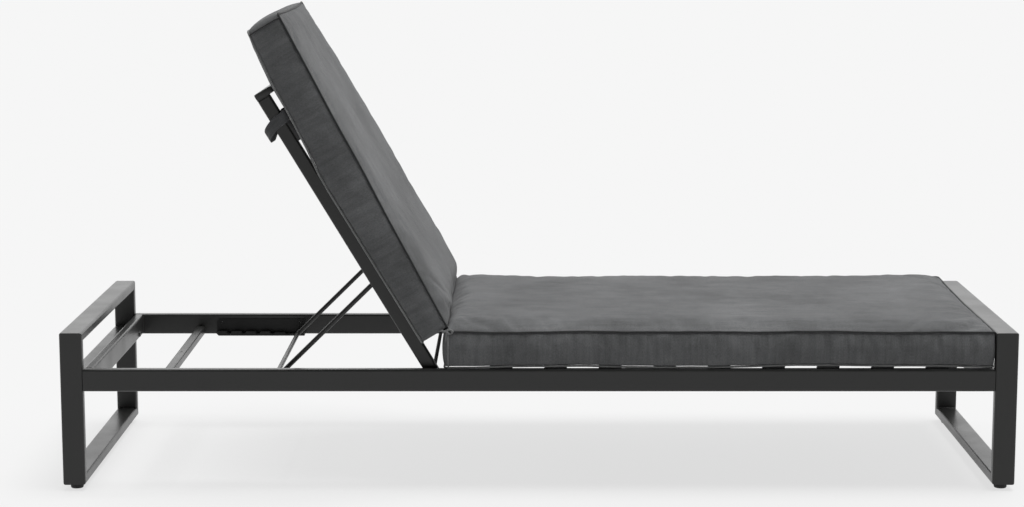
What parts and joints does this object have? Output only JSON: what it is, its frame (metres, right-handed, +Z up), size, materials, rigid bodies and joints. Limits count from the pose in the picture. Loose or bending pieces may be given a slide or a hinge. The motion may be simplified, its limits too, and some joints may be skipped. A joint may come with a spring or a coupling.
{
  "type": "reclining sun lounger",
  "caption": "Aluminium-framed outdoor sun lounger with square end loops, a slatted deck, a prop-up reclining backrest and a two-part padded cushion.",
  "frame": {"origin": "on the floor, at the centre of the lounger's footprint", "axes": "+X along the length towards the foot end, the reclining head end is at -X; +Y towards the left side of someone lying on it; +Z up"},
  "size_m": [2, 0.68, 0.9904],
  "materials": {
    "frame_paint": "satin",
    "rack_coating": "satin",
    "foot_rubber": "matte",
    "nylon": "matte",
    "cushion_fabric": "matte",
    "strap_webbing": "matte"
  },
  "bodies": {
    "frame": {"head_post_right": "frame_paint", "head_post_left": "frame_paint", "foot_post_right": "frame_paint", "foot_post_left": "frame_paint", "head_top_bar": "frame_paint", "foot_top_bar": "frame_paint", "head_bottom_bar": "frame_paint", "foot_bottom_bar": "frame_paint", "head_mid_bar": "frame_paint", "foot_mid_bar": "frame_paint", "head_cross_rail": "frame_paint", "foot_cross_rail": "frame_paint", "head_bolt_right": "frame_paint", "head_bolt_left": "frame_paint", "foot_bolt_right": "frame_paint", "foot_bolt_left": "frame_paint", "head_glide_right": "foot_rubber", "head_glide_left": "foot_rubber", "foot_glide_right": "foot_rubber", "foot_glide_left": "foot_rubber", "side_rail_right": "frame_paint", "side_rail_left": "frame_paint", "rest_tube": "frame_paint", "notch_rack_right": "rack_coating", "notch_rack_left": "rack_coating", "pivot_axle": "frame_paint", "pivot_spacer_right": "nylon", "pivot_spacer_left": "nylon", "seat_slat_1": "frame_paint", "seat_slat_2": "frame_paint", "seat_slat_3": "frame_paint", "seat_slat_4": "frame_paint", "seat_slat_5": "frame_paint", "seat_slat_6": "frame_paint", "seat_slat_7": "frame_paint", "seat_slat_8": "frame_paint", "seat_slat_9": "frame_paint", "seat_cushion": "cushion_fabric"},
    "backrest": {"backrest_tube_right": "frame_paint", "backrest_tube_left": "frame_paint", "backrest_top_bar": "frame_paint", "backrest_slat_1": "frame_paint", "backrest_slat_2": "frame_paint", "backrest_slat_3": "frame_paint", "backrest_slat_4": "frame_paint", "backrest_slat_5": "frame_paint", "prop_pin_right": "frame_paint", "prop_pin_left": "frame_paint", "strap_right": "strap_webbing", "strap_left": "strap_webbing"},
    "prop": {"prop_crossbar": "frame_paint", "prop_arm_right": "frame_paint", "prop_arm_left": "frame_paint"},
    "back_pad": {"back_cushion": "cushion_fabric"}
  },
  "joints": [
    {"name": "backrest_recline", "type": "hinge", "parent": "frame", "child": "backrest", "pos_m": [-0.222, 0, 0.246], "axis": [0, -1, 0], "range_deg": [0, 59]},
    {"name": "prop_fold", "type": "hinge", "parent": "backrest", "child": "prop", "pos_m": [-0.33891, 0, 0.44058], "axis": [0, 1, 0], "range_deg": [0, 99.9]},
    {"name": "back_pad_tilt", "type": "hinge", "parent": "frame", "child": "back_pad", "pos_m": [-0.17768, 0, 0.32433], "axis": [0, -1, 0], "range_deg": [0, 59.1]}
  ],
  "couplings": [
    {"joint": "prop_fold", "follows": "backrest_recline", "ratio": 1.6919},
    {"joint": "back_pad_tilt", "follows": "backrest_recline", "ratio": 1}
  ]
}
